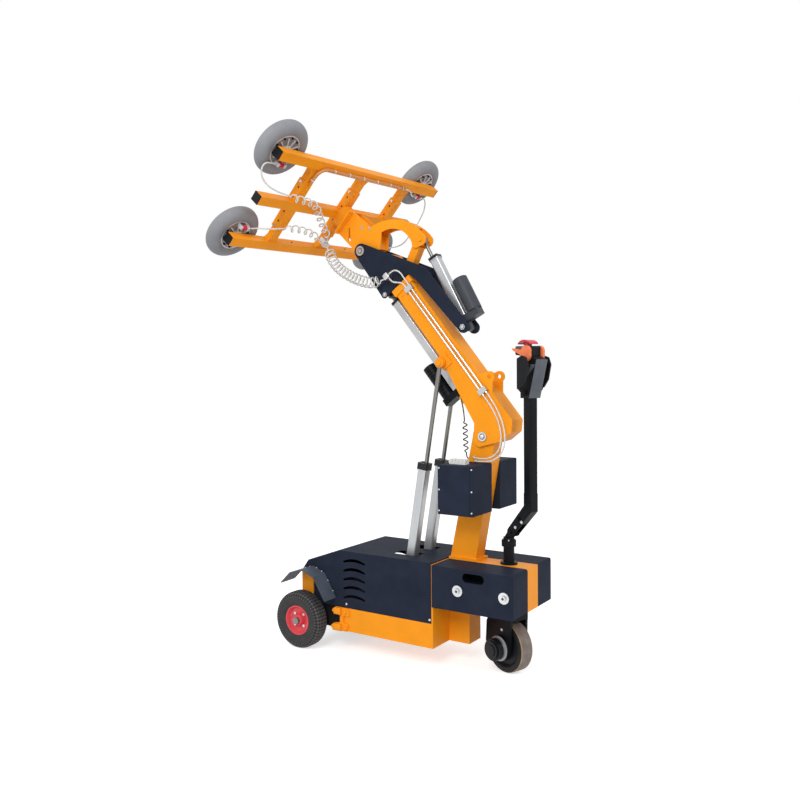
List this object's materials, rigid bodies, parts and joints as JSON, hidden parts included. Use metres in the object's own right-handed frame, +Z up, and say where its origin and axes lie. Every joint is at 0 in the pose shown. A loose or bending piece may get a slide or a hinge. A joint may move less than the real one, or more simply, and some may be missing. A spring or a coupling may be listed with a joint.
{
  "type": "glass panel lifter",
  "caption": "Pedestrian vacuum lifter: wheeled counterweighted base with a tiller, a raising and extending boom, and a tilting, turning beam frame with suction cups for panels.",
  "frame": {"origin": "floor level, under the middle of the machine's bounding box", "axes": "+X forward towards the suction cups, +Y to the left, +Z up"},
  "size_m": [1.6109, 1.5224, 2.7279],
  "materials": {
    "orange_paint": "satin",
    "navy_paint": "satin",
    "bright_steel": "satin",
    "alloy": "satin",
    "hard_chrome": "polished",
    "black_plastic": "matte",
    "black_metal": "satin",
    "grey_metal": "satin",
    "red_paint": "gloss",
    "tyre": "matte",
    "drive_tread": "matte",
    "cup_rubber": "matte",
    "orange_plastic": "matte",
    "red_plastic": "gloss",
    "white_plastic": "matte",
    "clear_hose": "gloss",
    "black_cord": "matte"
  },
  "bodies": {
    "chassis": {"base_tray": "orange_paint", "lift_foot_pins": "bright_steel", "clamp_brackets": "orange_paint", "hood": "navy_paint", "fenders": "navy_paint", "spine": "orange_paint", "counterweight_left": "navy_paint", "counterweight_right": "navy_paint", "counterweight_bolts": "bright_steel", "mast": "orange_paint", "control_box_left": "navy_paint", "control_box_right": "navy_paint", "terminal_strip": "white_plastic", "front_axle": "bright_steel", "batteries": "black_plastic", "vacuum_unit": "grey_metal", "mast_hoses": "clear_hose", "curly_cord": "black_cord"},
    "wheel_left": {"tyre_left": "tyre", "rim_left": "red_paint"},
    "wheel_right": {"tyre_right": "tyre", "rim_right": "red_paint"},
    "steering": {"drive_fork": "black_metal", "drive_motor": "black_metal"},
    "drive_wheel": {"drive_wheel": "drive_tread"},
    "tiller": {"tiller_arm": "black_metal", "tiller_head": "black_plastic"},
    "thumb_lever": {"thumb_lever": "orange_plastic"},
    "belly_button": {"belly_button": "red_plastic"},
    "boom": {"boom": "orange_paint", "boom_pins": "bright_steel", "ext_tube": "alloy", "ext_motor": "black_metal", "boom_pipes": "hard_chrome", "hose_leads": "clear_hose"},
    "jib": {"inner_boom": "orange_paint", "jib": "navy_paint", "jib_pins": "bright_steel", "ext_rod": "hard_chrome", "hose_coil": "clear_hose"},
    "tilt_arm": {"tilt_arm": "orange_paint"},
    "tilt_tube": {"tilt_tube": "alloy", "tilt_motor": "grey_metal"},
    "tilt_rod": {"tilt_rod": "hard_chrome"},
    "lift_tube_left": {"lift_tube_left": "alloy"},
    "lift_tube_right": {"lift_tube_right": "alloy"},
    "lift_rod_left": {"lift_rod_left": "hard_chrome"},
    "lift_rod_right": {"lift_rod_right": "hard_chrome"},
    "vacuum_frame": {"upper_beam": "orange_paint", "middle_beam": "orange_paint", "lower_beam": "orange_paint", "beam_caps": "black_plastic", "cross_arms": "orange_paint", "cup_rubbers": "cup_rubber", "cup_hubs": "alloy", "frame_hoses": "clear_hose"},
    "valve_upper_left": {"valve_upper_left": "red_paint"},
    "valve_upper_right": {"valve_upper_right": "red_paint"},
    "valve_lower_left": {"valve_lower_left": "red_paint"},
    "valve_lower_right": {"valve_lower_right": "red_paint"}
  },
  "joints": [
    {"name": "wheel_left_spin", "type": "hinge", "parent": "chassis", "child": "wheel_left", "pos_m": [0.52186, 0.265, 0.15], "axis": [0, 1, 0], "continuous": true},
    {"name": "wheel_right_spin", "type": "hinge", "parent": "chassis", "child": "wheel_right", "pos_m": [0.52186, -0.265, 0.15], "axis": [0, 1, 0], "continuous": true},
    {"name": "steer", "type": "hinge", "parent": "chassis", "child": "steering", "pos_m": [-0.57914, 0, 0.3], "axis": [0, 0, 1], "range_deg": [-70, 110]},
    {"name": "drive_spin", "type": "hinge", "parent": "steering", "child": "drive_wheel", "pos_m": [-0.57914, 0, 0.125], "axis": [0.342, 0.9397, 0], "continuous": true},
    {"name": "tiller_fold", "type": "hinge", "parent": "steering", "child": "tiller", "pos_m": [-0.60921, 0.01094, 0.69], "axis": [0.342, 0.9397, 0], "range_deg": [-70, 0]},
    {"name": "thumb_throttle", "type": "hinge", "parent": "tiller", "child": "thumb_lever", "pos_m": [-0.73325, 0.05609, 1.56], "axis": [0.342, 0.9397, 0], "range_deg": [-20, 20], "stiffness_Nm_per_rad": 1.2},
    {"name": "belly_press", "type": "slide", "parent": "tiller", "child": "belly_button", "axis": [0, 0, -1], "range_m": [0, 0.006], "stiffness_N_per_m": 2000, "springref_m": -0.004},
    {"name": "boom_lift", "type": "hinge", "parent": "chassis", "child": "boom", "pos_m": [-0.46814, 0, 1.153], "axis": [0, 1, 0], "range_deg": [0, 45], "deforming": ["mast_hoses", "curly_cord"]},
    {"name": "boom_extend", "type": "slide", "parent": "boom", "child": "jib", "axis": [0.6293, 0, 0.7771], "range_m": [0, 0.45], "deforming": ["hose_leads"]},
    {"name": "head_tilt", "type": "hinge", "parent": "jib", "child": "tilt_arm", "pos_m": [0.26286, 0, 2.123], "axis": [0, 1, 0], "range_deg": [0, 40], "deforming": ["hose_coil"]},
    {"name": "tilt_tube_swing", "type": "hinge", "parent": "jib", "child": "tilt_tube", "pos_m": [-0.36214, 0, 1.695], "axis": [0, 1, 0], "range_deg": [-2, 1]},
    {"name": "tilt_rod_swing", "type": "hinge", "parent": "tilt_arm", "child": "tilt_rod", "pos_m": [-0.10114, 0, 2.156], "axis": [0, 1, 0], "range_deg": [-42, 1]},
    {"name": "frame_spin", "type": "hinge", "parent": "tilt_arm", "child": "vacuum_frame", "pos_m": [0.44486, 0, 2.355], "axis": [0.7254, 0, 0.6884], "range_deg": [-90, 90]},
    {"name": "lift_tube_left_swing", "type": "hinge", "parent": "chassis", "child": "lift_tube_left", "pos_m": [-0.02614, 0.085, 0.25], "axis": [0, 1, 0], "range_deg": [-1, 9]},
    {"name": "lift_rod_left_swing", "type": "hinge", "parent": "boom", "child": "lift_rod_left", "pos_m": [-0.24343, 0.085, 1.5179], "axis": [0, 1, 0], "range_deg": [-37.5, 1]},
    {"name": "lift_tube_right_swing", "type": "hinge", "parent": "chassis", "child": "lift_tube_right", "pos_m": [-0.02614, -0.085, 0.25], "axis": [0, 1, 0], "range_deg": [-1, 9]},
    {"name": "lift_rod_right_swing", "type": "hinge", "parent": "boom", "child": "lift_rod_right", "pos_m": [-0.24343, -0.085, 1.5179], "axis": [0, 1, 0], "range_deg": [-37.5, 1]},
    {"name": "valve_upper_left_slide", "type": "slide", "parent": "vacuum_frame", "child": "valve_upper_left", "axis": [0.03, 0.999, -0.0316], "range_m": [-0.006, 0.006]},
    {"name": "valve_upper_right_slide", "type": "slide", "parent": "vacuum_frame", "child": "valve_upper_right", "axis": [0.03, 0.999, -0.0316], "range_m": [-0.006, 0.006]},
    {"name": "valve_lower_left_slide", "type": "slide", "parent": "vacuum_frame", "child": "valve_lower_left", "axis": [0.03, 0.999, -0.0316], "range_m": [-0.006, 0.006]},
    {"name": "valve_lower_right_slide", "type": "slide", "parent": "vacuum_frame", "child": "valve_lower_right", "axis": [0.03, 0.999, -0.0316], "range_m": [-0.006, 0.006]}
  ],
  "couplings": [
    {"joint": "tilt_tube_swing", "follows": "head_tilt", "ratio": -0.025108},
    {"joint": "tilt_rod_swing", "follows": "head_tilt", "ratio": -1.0251},
    {"joint": "lift_tube_left_swing", "follows": "boom_lift", "ratio": 0.18794},
    {"joint": "lift_rod_left_swing", "follows": "boom_lift", "ratio": -0.81206},
    {"joint": "lift_tube_right_swing", "follows": "boom_lift", "ratio": 0.18794},
    {"joint": "lift_rod_right_swing", "follows": "boom_lift", "ratio": -0.81206}
  ]
}
